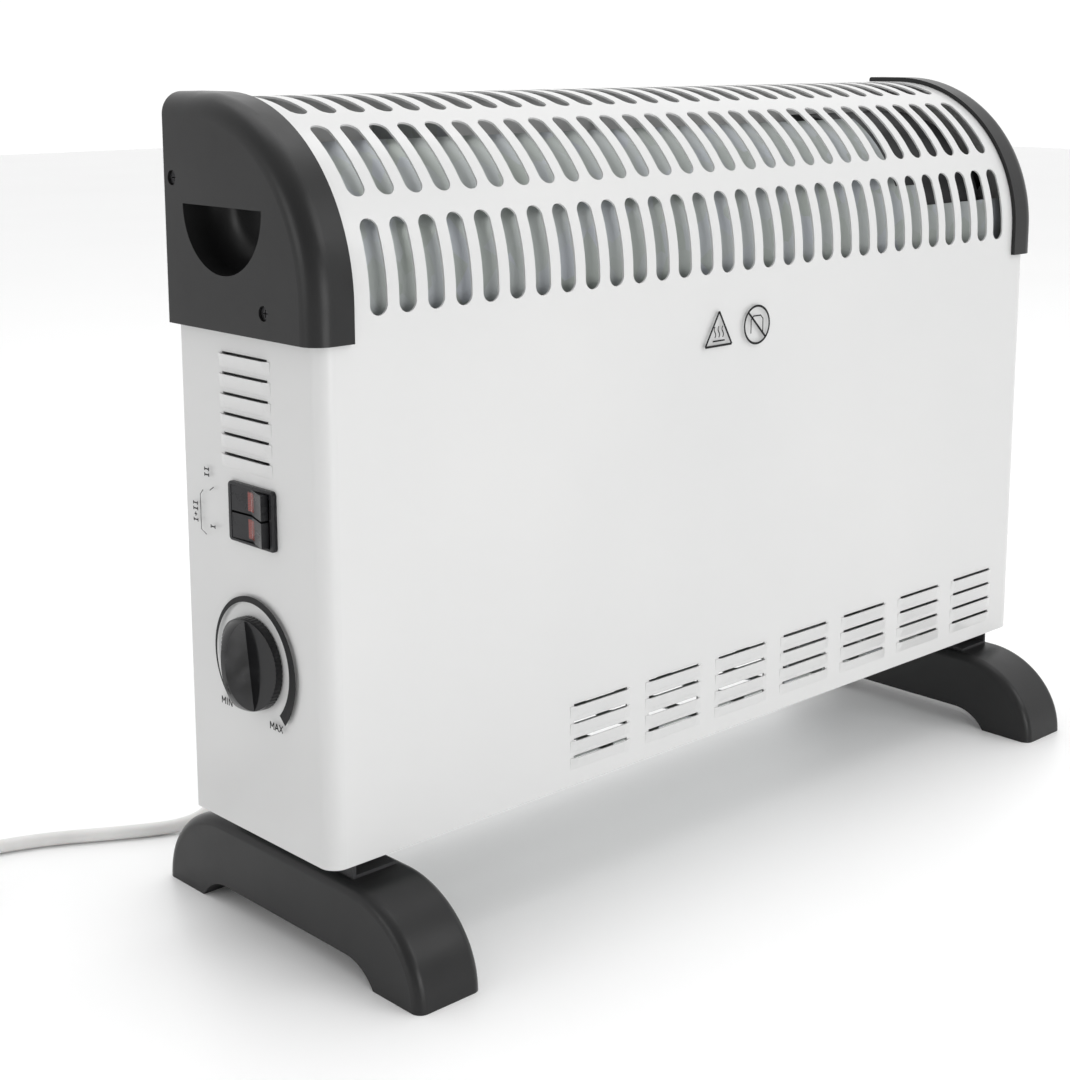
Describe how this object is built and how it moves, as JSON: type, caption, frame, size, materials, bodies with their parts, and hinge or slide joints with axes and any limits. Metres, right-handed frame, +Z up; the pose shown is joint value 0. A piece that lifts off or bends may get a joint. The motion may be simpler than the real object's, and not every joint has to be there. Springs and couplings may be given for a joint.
{
  "type": "fan convector heater",
  "caption": "Free-standing white sheet-metal convector heater with slotted curved hood, charcoal end caps and arched feet, rocker switches, thermostat knob, internal fan and mains lead.",
  "frame": {"origin": "on the floor, under the middle of the heater's bounding box without its mains lead", "axes": "+X along the length, away from the controls; the hot-air front faces -Y; +Z is up"},
  "size_m": [0.7115, 0.2928, 0.385],
  "materials": {
    "white_casing": "gloss",
    "charcoal_plastic": "satin",
    "gloss_black_plastic": "gloss",
    "switch_black_plastic": "satin",
    "amber_lens": "gloss",
    "galvanised_sheet": "satin",
    "zinc_fasteners": "satin",
    "black_screws": "satin",
    "mica_board": "matt",
    "resistance_wire": "satin",
    "black_housing": "matt",
    "motor_steel": "satin",
    "brass_contacts": "satin",
    "white_cord": "satin",
    "black_tie": "matt"
  },
  "bodies": {
    "heater": {"front_casing": "white_casing", "back_panel": "white_casing", "back_screws": "zinc_fasteners", "bottom_tray": "galvanised_sheet", "left_end_cap": "charcoal_plastic", "right_end_cap": "charcoal_plastic", "cap_screws": "black_screws", "left_foot": "charcoal_plastic", "right_foot": "charcoal_plastic", "left_foot_bracket": "black_housing", "right_foot_bracket": "black_housing", "foot_bolts": "zinc_fasteners", "front_heat_shield": "galvanised_sheet", "rear_heat_shield": "galvanised_sheet", "control_bulkhead": "galvanised_sheet", "element_boards": "mica_board", "lower_heating_coils": "resistance_wire", "upper_heating_coils": "resistance_wire", "element_rails": "galvanised_sheet", "fan_housing": "black_housing", "fan_motor": "motor_steel", "motor_bracket": "galvanised_sheet", "thermostat_body": "black_housing", "thermostat_nut": "zinc_fasteners", "switch_housing": "switch_black_plastic", "switch_pivot_pin": "motor_steel", "switch_terminals": "brass_contacts", "terminal_block": "black_housing", "thermal_cutout": "black_housing", "cable_gland": "white_cord", "power_cord": "white_cord", "cord_tail": "white_cord", "cord_coil": "white_cord", "cord_tie": "black_tie", "plug_body": "white_cord", "plug_pins": "brass_contacts"},
    "upper_switch": {"upper_rocker": "switch_black_plastic", "upper_rocker_lens": "amber_lens"},
    "lower_switch": {"lower_rocker": "switch_black_plastic", "lower_rocker_lens": "amber_lens"},
    "thermostat_dial": {"thermostat_knob": "gloss_black_plastic", "thermostat_shaft": "motor_steel"},
    "fan": {"fan_impeller": "black_housing", "motor_shaft": "motor_steel"}
  },
  "joints": [
    {"name": "upper_rocker_hinge", "type": "hinge", "parent": "heater", "child": "upper_switch", "pos_m": [-0.2505, -0.00115, 0.20915], "axis": [0, 0, 1], "range_deg": [0, 14]},
    {"name": "lower_rocker_hinge", "type": "hinge", "parent": "heater", "child": "lower_switch", "pos_m": [-0.2505, -0.00115, 0.19685], "axis": [0, 0, 1], "range_deg": [0, 14]},
    {"name": "thermostat_turn", "type": "hinge", "parent": "heater", "child": "thermostat_dial", "pos_m": [-0.254, 0.0013, 0.1356], "axis": [1, 0, 0], "range_deg": [-127, 143]},
    {"name": "fan_spin", "type": "hinge", "parent": "heater", "child": "fan", "pos_m": [0.203, 0.002, 0.12], "axis": [0, 0, 1], "continuous": true}
  ]
}
